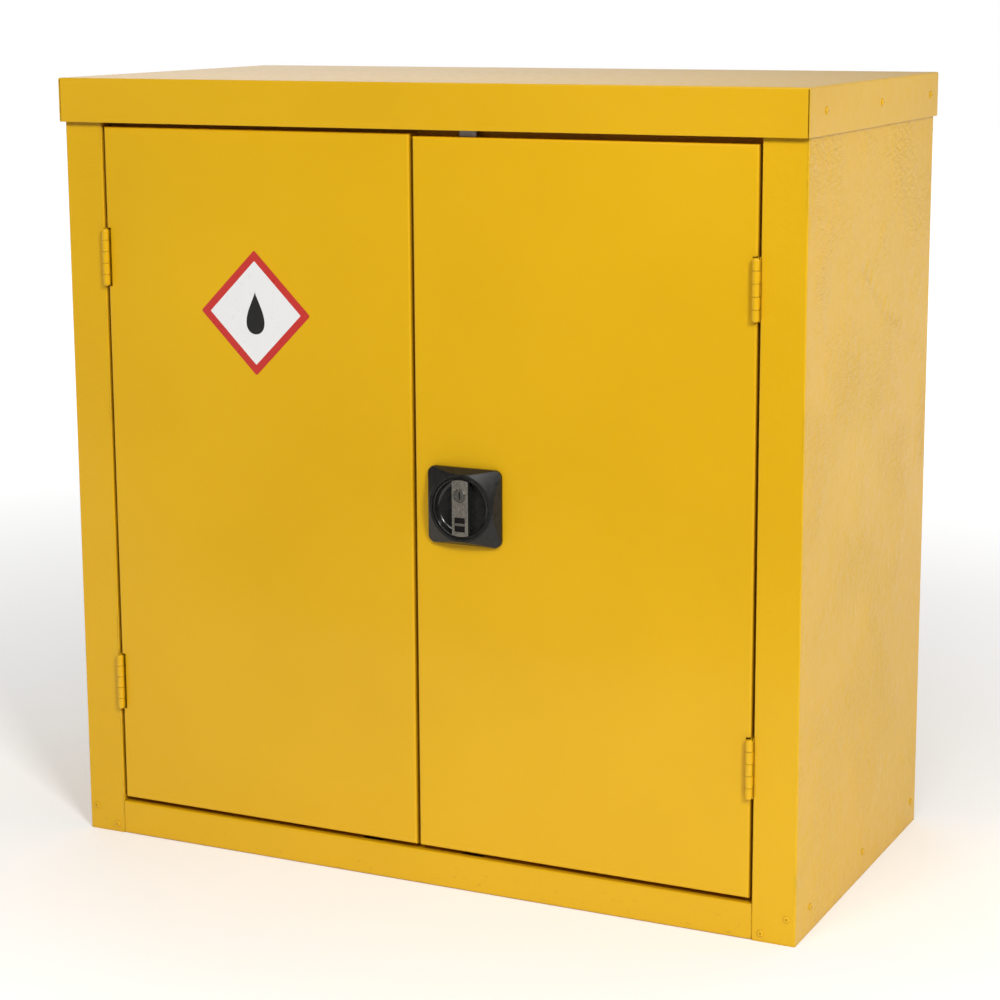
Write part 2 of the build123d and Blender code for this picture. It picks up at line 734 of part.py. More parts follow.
with BuildPart() as spindle:
    with BuildSketch(y_lock.offset(dial_back)):
        Circle(spindle_radius)
    extrude(amount=-dial_back - cam_front)
    with BuildSketch(y_lock.offset(-cam_front)):
        Rectangle(square, square)
    extrude(amount=-cam_thickness)
    with BuildSketch(y_lock.offset(-cam_front - cam_thickness)):
        Circle(screw_bore)
    extrude(amount=screw_length + 1.0, mode=Mode.SUBTRACT)
spindle.part.label = "spindle"
export_step(spindle.part, "parts/spindle.step")

# the pins stand at 45 degrees when the bars are drawn in, and swing through the level line
pin_offset = cam_pin_circle * 0.5**0.5
with BuildPart() as lock_cam:
    with BuildSketch(y_lock.offset(-cam_front)):
        Circle(cam_radius)
        Rectangle(square + 2 * square_gap, square + 2 * square_gap, mode=Mode.SUBTRACT)
    extrude(amount=-cam_thickness)
    with BuildSketch(y_lock.offset(-cam_front - cam_thickness)):
        with Locations((-pin_offset, -pin_offset), (pin_offset, pin_offset)):
            Circle(cam_pin_radius)
    extrude(amount=-cam_pin_length)
lock_cam.part.label = "lock_cam"
export_step(lock_cam.part, "parts/lock_cam.step")

with BuildPart() as cam_screw:
    with BuildSketch(y_lock.offset(-cam_front - cam_thickness)):
        Circle(screw_head_radius)
    extrude(amount=-screw_head)
    with BuildSketch(y_lock.offset(-cam_front - cam_thickness)):
        Circle(screw_shank)
    extrude(amount=screw_length)
    with BuildSketch(y_lock.offset(-cam_front - cam_thickness - screw_head)):
        Rectangle(1.2 * screw_head_radius, screw_slot_width)
    extrude(amount=screw_slot_depth, mode=Mode.SUBTRACT)
cam_screw.part.label = "cam_screw"
export_step(cam_screw.part, "parts/cam_screw.step")

# ---------------------------------------------------------------- locking bars and their guides
bar_plane = y_plane(bar_y - bar_thickness / 2, lock_x, lock_z)
tab_middle = 12.0           # each bar is cranked this far sideways to reach its cam pin
slot_middle = (pin_offset + cam_pin_circle) / 2
slot_play = 0.75            # on each side of a cam pin
slot_long = cam_pin_circle - pin_offset + 2 * (cam_pin_radius + slot_play) + 0.5
slot_tall = 2 * (cam_pin_radius + slot_play)
bar_start = 30.0
tab_end = 18.0
top_bar_end = header_bottom - 3.0       # both bars drawn in
bottom_bar_end = door_bottom - 1.0


def locking_bar(up, reach):
    """up is 1 for the bar that rises and -1 for the one that drops; reach is its far end."""
    with BuildPart() as bar:
        with BuildSketch(bar_plane):
            with Locations((0, up * (bar_start + reach) / 2)):
                Rectangle(bar_width, reach - bar_start)
            with Locations((-up * tab_middle, up * (bar_start + bar_width / 2 - tab_end) / 2)):
                Rectangle(bar_width, bar_start + bar_width / 2 + tab_end)
            with Locations((-up * slot_middle, -up * pin_offset)):
                Rectangle(slot_long, slot_tall, mode=Mode.SUBTRACT)
        extrude(amount=-bar_thickness)
    return bar.part


finish(locking_bar(1, top_bar_end - lock_z), "top_locking_bar")
finish(locking_bar(-1, lock_z - bottom_bar_end), "bottom_locking_bar")

guide_width = 36.0
guide_height = 16.0
guide_back = 18.0
guide_gap = 0.3
guide_corner = 2.0


def bar_guide(x, low, high):
    """Nylon block on the door's skin with a slot for a flat bar."""
    depth = guide_back - sheet
    with BuildPart() as guide:
        with Locations((x, y_front + sheet + depth / 2, (low + high) / 2)):
            Box(guide_width, depth, high - low)
        fillet(guide.edges().filter_by(Axis.Z), radius=guide_corner)
        with Locations((x, bar_y, (low + high) / 2)):
            Box(
                bar_width + 2 * guide_gap,
                bar_thickness + 2 * guide_gap,
                high - low,
                mode=Mode.SUBTRACT,
            )
    return guide.part


for word, middle_z in (("top", hinge_upper_z), ("bottom", hinge_lower_z)):
    low = middle_z - guide_height / 2
    finish(bar_guide(lock_x, low, low + guide_height), f"{word}_bar_guide")

# ---------------------------------------------------------------- bolts of the left door
bolt_length = 144.0
knob_radius = 6.0
knob_reach = 14.0
knob_round = 2.0
knob_from_root = 15.0
tip_corner = 4.0
bolt_guide_start = 54.0     # from the bolt's tip
bolt_guide_length = 36.0
for word, up, tip in (("top", 1, door_top - sheet), ("bottom", -1, door_bottom + sheet)):
    root = tip - up * bolt_length
    knob_z = root + up * knob_from_root
    with BuildPart() as bolt:
        with Locations((-lock_x, bar_y, (tip + root) / 2)):
            Box(bar_width, bar_thickness, bolt_length)
        tip_edges = bolt.edges().filter_by(Axis.Y).group_by(Axis.Z)[-1 if up > 0 else 0]
        fillet(tip_edges, radius=tip_corner)
        with BuildSketch(y_plane(bar_y + bar_thickness / 2, -lock_x, knob_z)):
            Circle(knob_radius)
        extrude(amount=-knob_reach)
        fillet(bolt.faces().sort_by(Axis.Y)[-1].edges(), radius=knob_round)
    finish(bolt.part, f"left_door_{word}_bolt")
    guide_middle = tip - up * (bolt_guide_start + bolt_guide_length / 2)
    low = guide_middle - bolt_guide_length / 2
    finish(bar_guide(-lock_x, low, low + bolt_guide_length), f"left_door_{word}_bolt_guide")

# ---------------------------------------------------------------- rivets and sticker
with BuildPart() as foot_rivet_set:
    for hand in (-1, 1):
        for across, up in foot_rivets:
            add(rivet(y_plane(y_front, hand * across, up), 2 * sheet))
foot_rivet_set.part.label = "foot_rivets"
export_step(foot_rivet_set.part, "parts/foot_rivets.step")

with BuildPart() as cap_rivet_set:
    for hand in (-1, 1):
        for along in cap_rivet_y:
            grip = side_setback + sheet
            add(rivet(x_plane(hand * cap_width / 2, along, cap_rivet_z, hand), grip))
cap_rivet_set.part.label = "cap_rivets"
export_step(cap_rivet_set.part, "parts/cap_rivets.step")

with BuildPart() as side_rivet_set:
    for hand in (-1, 1):
        for along in side_rivet_y:
            grip = 2 * sheet + pan_gap
            add(rivet(x_plane(hand * x_side, along, side_rivet_z, hand), grip))
side_rivet_set.part.label = "side_rivets"
export_step(side_rivet_set.part, "parts/side_rivets.step")

sticker_side = 100.0
sticker_x = -(x_free_edge + x_hinge_edge) / 2
sticker_z = 641.0
sticker_film = 0.3
with BuildPart() as hazard_sticker:
    with BuildSketch(y_plane(y_front, sticker_x, sticker_z)):
        Rectangle(sticker_side, sticker_side, rotation=45)
    extrude(amount=sticker_film)
hazard_sticker.part.label = "hazard_sticker"
export_step(hazard_sticker.part, "parts/hazard_sticker.step")
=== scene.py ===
import math

import bmesh
import bpy
from mathutils import Matrix, Vector


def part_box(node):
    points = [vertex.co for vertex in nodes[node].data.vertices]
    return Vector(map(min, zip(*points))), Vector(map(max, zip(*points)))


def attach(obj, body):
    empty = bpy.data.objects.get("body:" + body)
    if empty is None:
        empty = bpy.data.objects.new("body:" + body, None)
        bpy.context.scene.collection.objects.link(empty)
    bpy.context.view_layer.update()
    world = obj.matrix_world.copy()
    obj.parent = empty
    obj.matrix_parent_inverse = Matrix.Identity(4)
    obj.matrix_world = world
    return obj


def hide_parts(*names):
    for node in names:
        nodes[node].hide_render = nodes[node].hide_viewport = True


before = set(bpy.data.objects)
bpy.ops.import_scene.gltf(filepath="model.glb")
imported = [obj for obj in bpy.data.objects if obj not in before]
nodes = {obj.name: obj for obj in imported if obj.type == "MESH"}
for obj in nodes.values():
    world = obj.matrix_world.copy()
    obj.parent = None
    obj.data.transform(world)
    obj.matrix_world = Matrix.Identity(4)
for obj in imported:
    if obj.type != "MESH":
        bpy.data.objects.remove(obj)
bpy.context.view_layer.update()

# ---------------------------------------------------------------- side panels and back
# Each side panel is one folded steel sheet: web, front stile, jamb return and rear flange.
# The back is a flat sheet with turned edges. All are powder-coated safety yellow, which dries
# with a fine orange peel and lets the slight waviness of the thin sheet show.


def part_of(tree, kind, **sockets):
    """One shader node, with its plain input values set by name."""
    made = tree.nodes.new(kind)
    for name, value in sockets.items():
        socket = name.replace("_", " ")
        if socket in made.inputs:
            made.inputs[socket].default_value = value
        else:
            setattr(made, name, value)
    return made


def finish_base(name):
    """New material with its shader and the piece's own coordinates."""
    finish = bpy.data.materials.new(name)
    finish.use_nodes = True
    tree = finish.node_tree
    shader = tree.nodes["Principled BSDF"]
    where = tree.nodes.new("ShaderNodeTexCoord").outputs["Object"]
    return finish, tree, shader, where


def grain(tree, where, size, detail=2.0, roughness=0.5, stretch=None):
    """Noise whose cells are size metres across."""
    if stretch is not None:
        mapping = part_of(tree, "ShaderNodeMapping")
        mapping.inputs["Scale"].default_value = stretch
        tree.links.new(where, mapping.inputs["Vector"])
        where = mapping.outputs["Vector"]
    noise = part_of(tree, "ShaderNodeTexNoise", Scale=1.0 / size, Detail=detail, Roughness=roughness)
    tree.links.new(where, noise.inputs["Vector"])
    return noise.outputs["Fac"]


def spread(tree, value, low, high, start=0.3, end=0.7):
    """Maps a noise onto the range low to high."""
    ramp = part_of(tree, "ShaderNodeMapRange")
    for socket, number in (("From Min", start), ("From Max", end), ("To Min", low), ("To Max", high)):
        ramp.inputs[socket].default_value = number
    tree.links.new(value, ramp.inputs["Value"])
    return ramp.outputs["Result"]


def blend_colours(tree, mask, first, second):
    """Colour between two others; either may be a colour or another node's output."""
    mix = tree.nodes.new("ShaderNodeMix")
    mix.data_type = "RGBA"
    tree.links.new(mask, mix.inputs["Factor"])
    for socket, colour in (("A", first), ("B", second)):
        target = [s for s in mix.inputs if s.name == socket and s.type == "RGBA"][0]
        if isinstance(colour, bpy.types.NodeSocket):
            tree.links.new(colour, target)
        else:
            target.default_value = (*colour, 1.0)
    return [s for s in mix.outputs if s.type == "RGBA"][0]


def soft_edges(tree, radius):
    """Normal that rounds the sharp edges a little, so that they catch the light."""
    return part_of(tree, "ShaderNodeBevel", samples=6, Radius=radius).outputs["Normal"]


def relief(tree, height, depth, under=None):
    """Bump of the given depth in metres, laid over another one."""
    bump = part_of(tree, "ShaderNodeBump", Strength=1.0, Distance=depth)
    tree.links.new(height, bump.inputs["Height"])
    if under is not None:
        tree.links.new(under, bump.inputs["Normal"])
    return bump.outputs["Normal"]


def painted_crevice_shade(tree, reach):
    """Ambient occlusion, for painted shade where another surface stands within reach: in seams, gaps and
    round fixings.
    """
    return part_of(tree, "ShaderNodeAmbientOcclusion", samples=6, Distance=reach).outputs["AO"]


coat_deep = (0.690, 0.388, 0.003)
coat_light = (0.750, 0.428, 0.005)
scuff_colour = (0.42, 0.22, 0.02)
scuff_height = 0.045            # how far up from the floor the scuffs reach
painted_shade_colour = (0.30, 0.12, 0.008)
cloud_size = 0.35
wave_size = 0.22                # of the waviness of the sheet
peel_size = 0.0055              # of the orange peel
fine_size = 0.0011              # of the grain of the powder


def powder_coat(
    name, peel=0.00010, wave=0.0012, dents=(), scuffed_foot=False, gloss=0.26, shade_reach=0.009, mottle=0.0
):
    """Coated steel: peel, wave and mottle are depths in metres; the reach of the painted shade in seams
    and gaps is in metres too.
    """
    finish, tree, shader, where = finish_base(name)
    cloud = grain(tree, where, cloud_size, detail=3.0)
    colour = blend_colours(tree, spread(tree, cloud, 0.0, 1.0), coat_deep, coat_light)
    if scuffed_foot:
        height = tree.nodes.new("ShaderNodeSeparateXYZ")
        tree.links.new(where, height.inputs["Vector"])
        low_down = spread(tree, height.outputs["Z"], 1.0, 0.0, 0.0, scuff_height)
        rubs = spread(tree, grain(tree, where, 0.004, 6.0, 0.7, (0.35, 0.35, 1.0)), 0.0, 0.75, 0.60, 0.70)
        worn = part_of(tree, "ShaderNodeMath", operation="MULTIPLY")
        tree.links.new(low_down, worn.inputs[0])
        tree.links.new(rubs, worn.inputs[1])
        colour = blend_colours(tree, worn.outputs["Value"], colour, scuff_colour)
    # painted shade: the colour turns dark brown where another surface stands near, in seams, gaps and
    # round fixings
    painted_seam_shade = spread(tree, painted_crevice_shade(tree, shade_reach), 0.7, 0.0, 0.15, 0.70)
    colour = blend_colours(tree, painted_seam_shade, colour, painted_shade_colour)
    tree.links.new(colour, shader.inputs["Base Color"])
    matt = spread(tree, grain(tree, where, 0.012, detail=4.0), 0.34, 0.44)
    tree.links.new(matt, shader.inputs["Roughness"])
    normal = soft_edges(tree, 0.0007)
    normal = relief(tree, grain(tree, where, wave_size, detail=1.0), wave, under=normal)
    normal = relief(tree, grain(tree, where, peel_size, detail=2.0, roughness=0.45), peel, under=normal)
    normal = relief(tree, grain(tree, where, fine_size, detail=1.0), peel * 0.12, under=normal)
    if mottle > 0.0:
        patches = spread(tree, grain(tree, where, 0.10, detail=3.0), 0.1, 1.0, 0.42, 0.62)
        wrinkles = part_of(tree, "ShaderNodeMath", operation="MULTIPLY")
        tree.links.new(grain(tree, where, 0.011, 4.0, 0.6, (1.0, 1.0, 1.8)), wrinkles.inputs[0])
        tree.links.new(patches, wrinkles.inputs[1])
        # only the broad side shows them, not the narrow front stile
        facing = tree.nodes.new("ShaderNodeSeparateXYZ")
        tree.links.new(tree.nodes.new("ShaderNodeTexCoord").outputs["Normal"], facing.inputs["Vector"])
        broad = part_of(tree, "ShaderNodeMath", operation="ABSOLUTE")
        tree.links.new(facing.outputs["X"], broad.inputs[0])
        shown = part_of(tree, "ShaderNodeMath", operation="MULTIPLY")
        tree.links.new(wrinkles.outputs["Value"], shown.inputs[0])
        tree.links.new(broad.outputs["Value"], shown.inputs[1])
        normal = relief(tree, shown.outputs["Value"], mottle, under=normal)
    for spot, size, depth in dents:
        reach = part_of(tree, "ShaderNodeVectorMath", operation="DISTANCE")
        reach.inputs[1].default_value = spot
        tree.links.new(where, reach.inputs[0])
        hollow = spread(tree, reach.outputs["Value"], 0.0, 1.0, 0.0, size)
        normal = relief(tree, hollow, depth, under=normal)
    tree.links.new(normal, shader.inputs["Normal"])
    shader.inputs["Specular IOR Level"].default_value = gloss
    shader.inputs["Coat Weight"].default_value = 0.5 * gloss
    shader.inputs["Coat Roughness"].default_value = 0.12
    return finish


def dress(finish, *names):
    """Gives CAD nodes their finish."""
    for name in names:
        for slot in nodes[name].material_slots:
            slot.material = finish


yellow_coat = powder_coat("yellow_powder_coat")
side_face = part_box("right_side_panel")[1].x
front_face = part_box("right_side_panel")[0].y
# knocks from handling: two small dimples, and a row that runs together into a crease
side_dents = [((0.134, 0.370), 0.012, 0.0010), ((0.047, 0.192), 0.010, 0.0008)]
crease_start = (0.195, 0.700)
crease_length = 0.135
crease_drop = 0.072
crease_steps = 8
for step in range(crease_steps + 1):
    along = step / crease_steps
    spot_y = crease_start[0] + crease_length * along
    spot_z = crease_start[1] - crease_drop * math.sin(1.4 * along)
    side_dents.append(((spot_y, spot_z), 0.013, 0.0016))
side_coat = powder_coat(
    "side_panel_coat",
    peel=0.00034,
    wave=0.0030,
    dents=[(Vector((side_face, front_face + y, z)), size, depth) for (y, z), size, depth in side_dents],
    scuffed_foot=True,
    mottle=0.0030,
)
dress(side_coat, "right_side_panel", "left_side_panel")
dress(yellow_coat, "back_panel")

# ---------------------------------------------------------------- cap and rails
# The cap is a tray of folded sheet that drops over the carcass. The header rail behind its
# skirt and the bottom rail between the stiles are folded sheet too, with slots for the bars.
rail_coat = powder_coat("rail_coat", scuffed_foot=True)
cap_coat = powder_coat("cap_coat", gloss=0.36)
dress(cap_coat, "top_cap")
dress(yellow_coat, "header_rail", "header_stop")
dress(rail_coat, "bottom_rail")

# ---------------------------------------------------------------- base pan
# A liquid-tight tray of folded sheet with welded corners, coated like the carcass. It stands
# on the lips of the side panels and on the bottom rail's flange, and catches what is spilled.
dress(yellow_coat, "base_pan")

# ---------------------------------------------------------------- door stops and buffers
# The stops are angles of coated sheet steel, spot-welded to the jambs behind the hinges.
# Four soft black rubber buffers are pushed on, with the dull bloom that moulded rubber gets.
dress(yellow_coat, "left_door_stop", "right_door_stop")


def buffer_rubber(name):
    finish, tree, shader, where = finish_base(name)
    bloom = spread(tree, grain(tree, where, 0.002, detail=5.0), 0.0, 1.0)
    tree.links.new(
        blend_colours(tree, bloom, (0.016, 0.016, 0.017), (0.045, 0.044, 0.043)),
        shader.inputs["Base Color"],
    )
    tree.links.new(spread(tree, bloom, 0.62, 0.82, 0.0, 1.0), shader.inputs["Roughness"])
    tree.links.new(relief(tree, grain(tree, where, 0.0006), 0.00004), shader.inputs["Normal"])
    return finish


dress(buffer_rubber("buffer_rubber"), "door_buffers")

# ---------------------------------------------------------------- shelves, standards and clips
# Slotted channels are welded to the side panels. Zinc-plated clips hook into them and carry
# two folded steel shelves, coated like the carcass.
standards = [f"{side}_{place}_shelf_standard" for side in ("left", "right") for place in ("front", "rear")]
dress(yellow_coat, "lower_shelf", "upper_shelf", *standards)


def zinc_plate(name, drawn=(1.0, 1.0, 0.06)):
    """Bright zinc on drawn steel: fine lines along the bar and a faint cold tint."""
    finish, tree, shader, where = finish_base(name)
    cloud = spread(tree, grain(tree, where, 0.02, detail=4.0), 0.0, 1.0)
    tree.links.new(
        blend_colours(tree, cloud, (0.56, 0.57, 0.58), (0.70, 0.69, 0.66)),
        shader.inputs["Base Color"],
    )
    shader.inputs["Metallic"].default_value = 1.0
    lines = grain(tree, where, 0.0009, 3.0, 0.6, drawn)
    tree.links.new(spread(tree, lines, 0.24, 0.42), shader.inputs["Roughness"])
    tree.links.new(relief(tree, lines, 0.00002), shader.inputs["Normal"])
    return finish


bar_zinc = zinc_plate("bar_zinc")
dress(bar_zinc, "lower_shelf_clips", "upper_shelf_clips")

# ---------------------------------------------------------------- doors
# Two pans of folded steel sheet with rounded edges, powder-coated with the carcass, each
# stiffened by a welded top-hat section. The large flat skins are slightly wavy.
door_coat = powder_coat("door_coat", wave=0.0018)
dress(door_coat, "left_door", "right_door", "left_door_stiffener", "right_door_stiffener")

# ---------------------------------------------------------------- hinges
# Steel butt hinges with five rolled knuckles, welded into the gap beside each door and
# coated with it, so that leaves and pin carry the same thin yellow film.
# the painted shade in seams reaches less far here, around knuckles and rivets
hinge_coat = powder_coat("hinge_coat", peel=0.00006, wave=0.0, shade_reach=0.005)
for side in ("left", "right"):
    for level in ("lower", "upper"):
        for piece in ("door_leaf", "frame_leaf", "pin"):
            dress(hinge_coat, f"{side}_{level}_hinge_{piece}")

# ---------------------------------------------------------------- lock: escutcheon and dial
# A moulded black surround with four hollow facets, screwed on from behind, and the glossier
# dial that turns in it. Both are filled plastic with softened edges.


def black_moulding(name, rough_low, rough_high, gloss=0.42):
    finish, tree, shader, where = finish_base(name)
    haze = spread(tree, grain(tree, where, 0.006, detail=5.0), 0.0, 1.0)
    tree.links.new(
        blend_colours(tree, haze, (0.010, 0.010, 0.009), (0.018, 0.017, 0.015)),
        shader.inputs["Base Color"],
    )
    tree.links.new(spread(tree, haze, rough_low, rough_high, 0.0, 1.0), shader.inputs["Roughness"])
    shader.inputs["Specular IOR Level"].default_value = gloss
    spark = relief(tree, grain(tree, where, 0.0007), 0.00002, under=soft_edges(tree, 0.0005))
    tree.links.new(spark, shader.inputs["Normal"])
    return finish


dress(black_moulding("escutcheon_black", 0.26, 0.38, gloss=0.30), "handle_escutcheon")
dress(black_moulding("dial_black", 0.14, 0.22), "handle_dial")

# ---------------------------------------------------------------- grip and its insert
# The grip is a raw-looking grey zinc casting that stands across the dial, grey on its face and
# coloured near black on its flanks. A dark plastic insert is let into it, and the front of the bar across
# that one is coloured grey.
grip_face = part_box("handle_grip")[0].y


def grey_casting(name):
    finish, tree, shader, where = finish_base(name)
    grit = grain(tree, where, 0.0012, detail=6.0, roughness=0.7)
    pits = spread(tree, grit, 0.0, 1.0, 0.35, 0.65)
    metal = blend_colours(tree, pits, (0.10, 0.088, 0.070), (0.32, 0.295, 0.250))
    # the face is grey metal; the flanks are coloured near black, like the dial
    depth = tree.nodes.new("ShaderNodeSeparateXYZ")
    tree.links.new(where, depth.inputs["Vector"])
    flank_start = grip_face + 0.0009
    flank = spread(tree, depth.outputs["Y"], 0.0, 1.0, flank_start, flank_start + 0.0005)
    colour = blend_colours(tree, flank, metal, (0.011, 0.011, 0.010))
    tree.links.new(colour, shader.inputs["Base Color"])
    tree.links.new(spread(tree, flank, 0.75, 0.0, 0.0, 1.0), shader.inputs["Metallic"])
    tree.links.new(spread(tree, grit, 0.36, 0.60), shader.inputs["Roughness"])
    tree.links.new(relief(tree, grit, 0.00018), shader.inputs["Normal"])
    return finish


dress(grey_casting("grip_casting"), "handle_grip")
insert_black = black_moulding("insert_black", 0.45, 0.6, gloss=0.12)
insert_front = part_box("grip_insert")[0].y
insert_tree = insert_black.node_tree
insert_depth = insert_tree.nodes.new("ShaderNodeSeparateXYZ")
insert_where = insert_tree.nodes.new("ShaderNodeTexCoord").outputs["Object"]
insert_tree.links.new(insert_where, insert_depth.inputs["Vector"])
# the front face of the bar across the insert is coloured grey, the rest near black
bar_face_start = insert_front + 0.0002
bar_face_mask = spread(insert_tree, insert_depth.outputs["Y"], 1.0, 0.0, bar_face_start, bar_face_start + 0.0004)
grey_bar_face = blend_colours(insert_tree, bar_face_mask, (0.008, 0.007, 0.006), (0.10, 0.092, 0.080))
insert_tree.links.new(grey_bar_face, insert_tree.nodes["Principled BSDF"].inputs["Base Color"])
dress(insert_black, "grip_insert")

# ---------------------------------------------------------------- key plug
# A nickel-plated brass plug with a key slot, which turns in the grip. A small tail is fixed
# to its inner end. Turning has left fine marks on its face.


def nickel(name):
    finish, tree, shader, where = finish_base(name)
    rings = grain(tree, where, 0.0008, detail=4.0, roughness=0.65)
    tree.links.new(
        blend_colours(tree, spread(tree, rings, 0.0, 1.0), (0.14, 0.13, 0.11), (0.50, 0.47, 0.42)),
        shader.inputs["Base Color"],
    )
    shader.inputs["Metallic"].default_value = 1.0
    tree.links.new(spread(tree, rings, 0.20, 0.38), shader.inputs["Roughness"])
    tree.links.new(relief(tree, rings, 0.00006), shader.inputs["Normal"])
    return finish


dress(nickel("plug_nickel"), "lock_plug", "plug_tail")

# ---------------------------------------------------------------- spindle, cam and locking bars
# Behind the door the spindle turns a cam, whose two pins drive a bar up and a bar down.
# All are zinc-plated steel; the bars slide in white nylon guides.
turned_zinc = zinc_plate("turned_zinc", drawn=(1.0, 0.3, 1.0))
dress(turned_zinc, "spindle_bush", "spindle", "lock_cam", "cam_screw")
dress(bar_zinc, "top_locking_bar", "bottom_locking_bar")


def guide_nylon(name):
    finish, tree, shader, where = finish_base(name)
    cloud = spread(tree, grain(tree, where, 0.008, detail=3.0), 0.0, 1.0)
    tree.links.new(
        blend_colours(tree, cloud, (0.68, 0.66, 0.60), (0.78, 0.76, 0.71)),
        shader.inputs["Base Color"],
    )
    tree.links.new(spread(tree, cloud, 0.38, 0.52, 0.0, 1.0), shader.inputs["Roughness"])
    tree.links.new(relief(tree, grain(tree, where, 0.0008), 0.00003), shader.inputs["Normal"])
    shader.inputs["Subsurface Weight"].default_value = 0.15
    shader.inputs["Subsurface Scale"].default_value = 0.002
    return finish


white_nylon = guide_nylon("white_nylon")
dress(white_nylon, "top_bar_guide", "bottom_bar_guide")

# ---------------------------------------------------------------- left door's bolts
# Two flat zinc-plated bars with turned knobs, which hold the left door while the right one
# is open. They slide in the same white nylon guides, fixed to the inside of the door.
dress(bar_zinc, "left_door_top_bolt", "left_door_bottom_bolt")
dress(white_nylon, "left_door_top_bolt_guide", "left_door_bottom_bolt_guide")

# ---------------------------------------------------------------- rivets
# Domed blind rivets set from outside before coating, each with the dimple that its mandrel
# leaves. They carry the same thin film as the hinges.
dress(hinge_coat, "foot_rivets", "cap_rivets", "side_rivets")

# ---------------------------------------------------------------- hazard sticker
# Printed vinyl film stuck to the left door, a square on its corner: a red border on a white
# field with a plain drop. It replaces the CAD film and keeps its outline.
film_low, film_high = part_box("hazard_sticker")
film_centre = (film_low + film_high) / 2
film_front = film_low.y
film_back = film_high.y
film_side = (film_high.x - film_low.x) / math.sqrt(2)
border_width = 0.0085
corner_radius = 0.0022
ink_step = 0.00004              # between the printed layers
film_rest = film_back - 0.0001  # where the layers end, just short of the door
drop_width = 0.034
drop_height = 0.048


def rounded_square(side, radius, steps=6):
    """Outline of a square on its corner, with round corners."""
    points = []
    for turn in range(4):
        centre_angle = math.radians(90 * turn)
        inset = (side / 2 - radius) * math.sqrt(2)
        centre = Vector((inset * math.cos(centre_angle), inset * math.sin(centre_angle)))
        for step in range(steps + 1):
            angle = centre_angle + math.radians(-45 + 90 * step / steps)
            points.append(centre + radius * Vector((math.cos(angle), math.sin(angle))))
    return points


def drop_outline(width, height, steps=28):
    """Outline of a drop: a round foot that narrows to a point."""
    points = []
    for step in range(2 * steps):
        angle = math.pi * step / steps
        narrow = math.sin(angle / 2) ** 1.6
        across = 0.5 * width * math.sin(angle) * narrow
        points.append(Vector((across, 0.5 * height * math.cos(angle))))
    return points


def printed_film(name, outline, hole, front, back):
    """Flat film in the front plane between two depths, with an optional hole."""
    mesh = bmesh.new()
    rings = []
    for loop in (outline, hole):
        if loop is None:
            continue
        spots = [Vector((film_centre.x + p.x, 0, film_centre.z + p.y)) for p in loop]
        rings.append([[mesh.verts.new((s.x, y, s.z)) for s in spots] for y in (front, back)])
    for near, far in rings:
        count = len(near)
        for i in range(count):
            mesh.faces.new((near[i], near[(i + 1) % count], far[(i + 1) % count], far[i]))
    if hole is None:
        mesh.faces.new(rings[0][0])
        mesh.faces.new(rings[0][1])
    else:
        for layer in (0, 1):
            outer, inner = rings[0][layer], rings[1][layer]
            count = len(outer)
            for i in range(count):
                mesh.faces.new((outer[i], outer[(i + 1) % count], inner[(i + 1) % count], inner[i]))
    bmesh.ops.recalc_face_normals(mesh, faces=mesh.faces)
    data = bpy.data.meshes.new(name)
    mesh.to_mesh(data)
    mesh.free()
    film = bpy.data.objects.new(name, data)
    bpy.context.scene.collection.objects.link(film)
    return film


def vinyl(name, colour, second):
    """Printed film: even ink with a trace of press grain under a clear gloss."""
    finish, tree, shader, where = finish_base(name)
    dots = spread(tree, grain(tree, where, 0.0009, detail=3.0), 0.0, 1.0)
    tree.links.new(blend_colours(tree, dots, colour, second), shader.inputs["Base Color"])
    tree.links.new(
        spread(tree, grain(tree, where, 0.010, detail=4.0), 0.26, 0.36),
        shader.inputs["Roughness"],
    )
    tree.links.new(relief(tree, grain(tree, where, 0.004), 0.00003), shader.inputs["Normal"])
    shader.inputs["Coat Weight"].default_value = 0.3
    shader.inputs["Coat Roughness"].default_value = 0.12
    return finish


outer_edge = rounded_square(film_side, corner_radius)
inner_edge = rounded_square(film_side - 2 * border_width, corner_radius * 0.4)
sticker_field = printed_film("sticker_field", inner_edge, None, film_front + 2 * ink_step, film_rest)
sticker_border = printed_film(
    "sticker_border", outer_edge, inner_edge, film_front + ink_step, film_rest
)
drop = drop_outline(drop_width, drop_height)
sticker_drop = printed_film("sticker_drop", drop, None, film_front, film_front + 2 * ink_step)
for film, finish in (
    (sticker_field, vinyl("white_vinyl", (0.80, 0.79, 0.78), (0.86, 0.86, 0.85))),
    (sticker_border, vinyl("red_vinyl", (0.52, 0.028, 0.022), (0.60, 0.036, 0.028))),
    (sticker_drop, vinyl("black_vinyl", (0.010, 0.010, 0.009), (0.016, 0.015, 0.014))),
):
    film.data.materials.append(finish)
    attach(film, "left_door")
    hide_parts("hazard_sticker")

# ---------------------------------------------------------------- studio
# A pale floor with a painted glow of its own, stronger away from the cabinet, that ends in front
# of it, and a white surrounding that is brightest behind on the left and dim in front. Two soft
# lamps light the front: the key from the right and a fill from above.
floor_reach = 14.0
floor_front = -1.15
floor_corner = -0.9             # from here the front edge runs off to the left
glow_toward = (-0.606, 0.776, 0.174)
light_target = (0.0, -0.2, 0.6)
floor_mesh = bpy.data.meshes.new("floor")
floor_mesh.from_pydata(
    [
        (-floor_reach, -1.2 * floor_reach, 0.0),
        (floor_corner, floor_front, 0.0),
        (floor_reach, floor_front, 0.0),
        (floor_reach, floor_reach, 0.0),
        (-floor_reach, floor_reach, 0.0),
    ],
    [],
    [(0, 1, 2, 3, 4)],
)
floor = bpy.data.objects.new("floor", floor_mesh)
bpy.context.scene.collection.objects.link(floor)
floor_finish, floor_tree, floor_shader, floor_where = finish_base("studio_floor")
